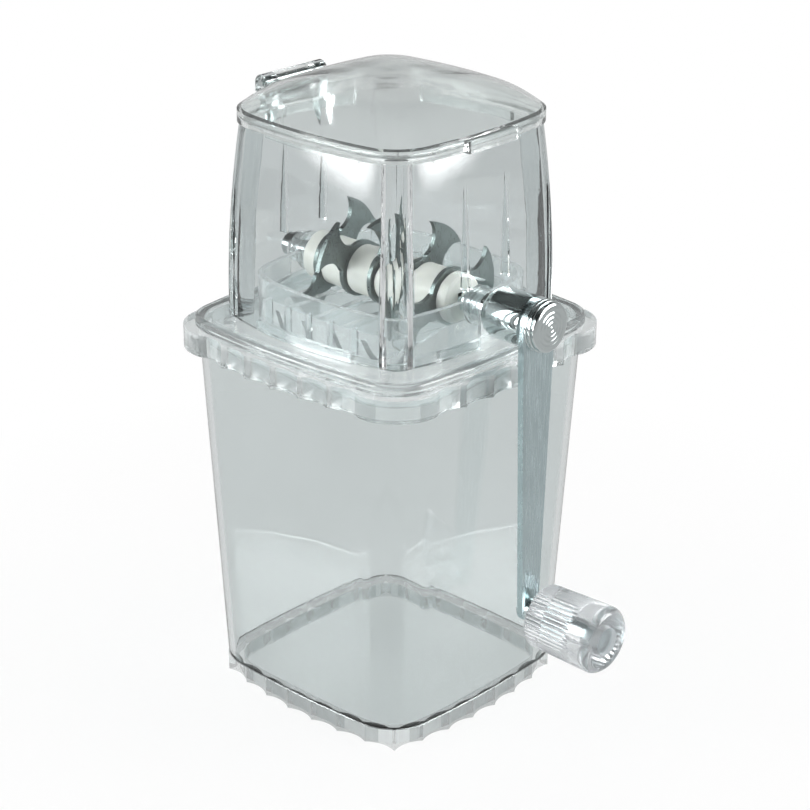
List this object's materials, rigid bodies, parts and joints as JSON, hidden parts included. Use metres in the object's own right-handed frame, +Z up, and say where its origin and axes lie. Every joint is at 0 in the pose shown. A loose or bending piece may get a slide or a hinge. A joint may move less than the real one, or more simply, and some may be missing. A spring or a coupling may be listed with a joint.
{
  "type": "hand-cranked ice crusher",
  "caption": "Clear square hand-cranked ice crusher: lidded hood over toothed cutters on a shaft, side crank with ribbed knob, lift-off hopper on a catch container.",
  "frame": {"origin": "on the table, under the middle of the container's foot", "axes": "+Z up, +X along the cutter shaft towards the crank, +Y across the shaft to the left when facing along +X"},
  "size_m": [0.1761, 0.1292, 0.2482],
  "materials": {
    "clear_plastic": "clear moulded plastic, polished",
    "chrome_plate": "bright chrome plate",
    "satin_metal": "satin plated metal",
    "cutter_steel": "stamped stainless steel",
    "drum_plastic": "cream moulded plastic",
    "bush_plastic": "natural white plastic"
  },
  "bodies": {
    "container": {"container": "clear_plastic"},
    "hopper": {"hopper_frame": "clear_plastic", "front_bush": "bush_plastic", "rear_bush": "bush_plastic"},
    "hood": {"hood": "clear_plastic", "hinge_pin": "chrome_plate"},
    "lid": {"lid": "clear_plastic"},
    "crank": {"cutter_shaft": "chrome_plate", "cutter_1": "cutter_steel", "cutter_2": "cutter_steel", "cutter_3": "cutter_steel", "cutter_4": "cutter_steel", "cutter_5": "cutter_steel", "spacer_drum_1": "drum_plastic", "spacer_drum_2": "drum_plastic", "spacer_drum_3": "drum_plastic", "spacer_drum_4": "drum_plastic", "spacer_drum_5": "drum_plastic", "spacer_drum_6": "drum_plastic", "rear_cap": "chrome_plate", "crank_boss": "chrome_plate", "crank_arm": "satin_metal", "crank_cap": "chrome_plate", "knob_spindle": "chrome_plate"},
    "knob": {"knob": "clear_plastic", "knob_cap": "clear_plastic"}
  },
  "joints": [
    {"name": "frame_lift", "type": "slide", "parent": "container", "child": "hopper", "axis": [0, 0, 1], "range_m": [0, 0.04]},
    {"name": "hood_lift", "type": "slide", "parent": "hopper", "child": "hood", "axis": [0, 0, 1], "range_m": [0, 0.06]},
    {"name": "lid_hinge", "type": "hinge", "parent": "hood", "child": "lid", "pos_m": [-0.0525, 0, 0.238], "axis": [0, -1, 0], "range_deg": [0, 110]},
    {"name": "crank_turn", "type": "hinge", "parent": "hopper", "child": "crank", "pos_m": [0, 0, 0.1698], "axis": [1, 0, 0], "continuous": true},
    {"name": "knob_spin", "type": "hinge", "parent": "crank", "child": "knob", "pos_m": [0.08, 0, 0.0536], "axis": [1, 0, 0], "continuous": true}
  ]
}
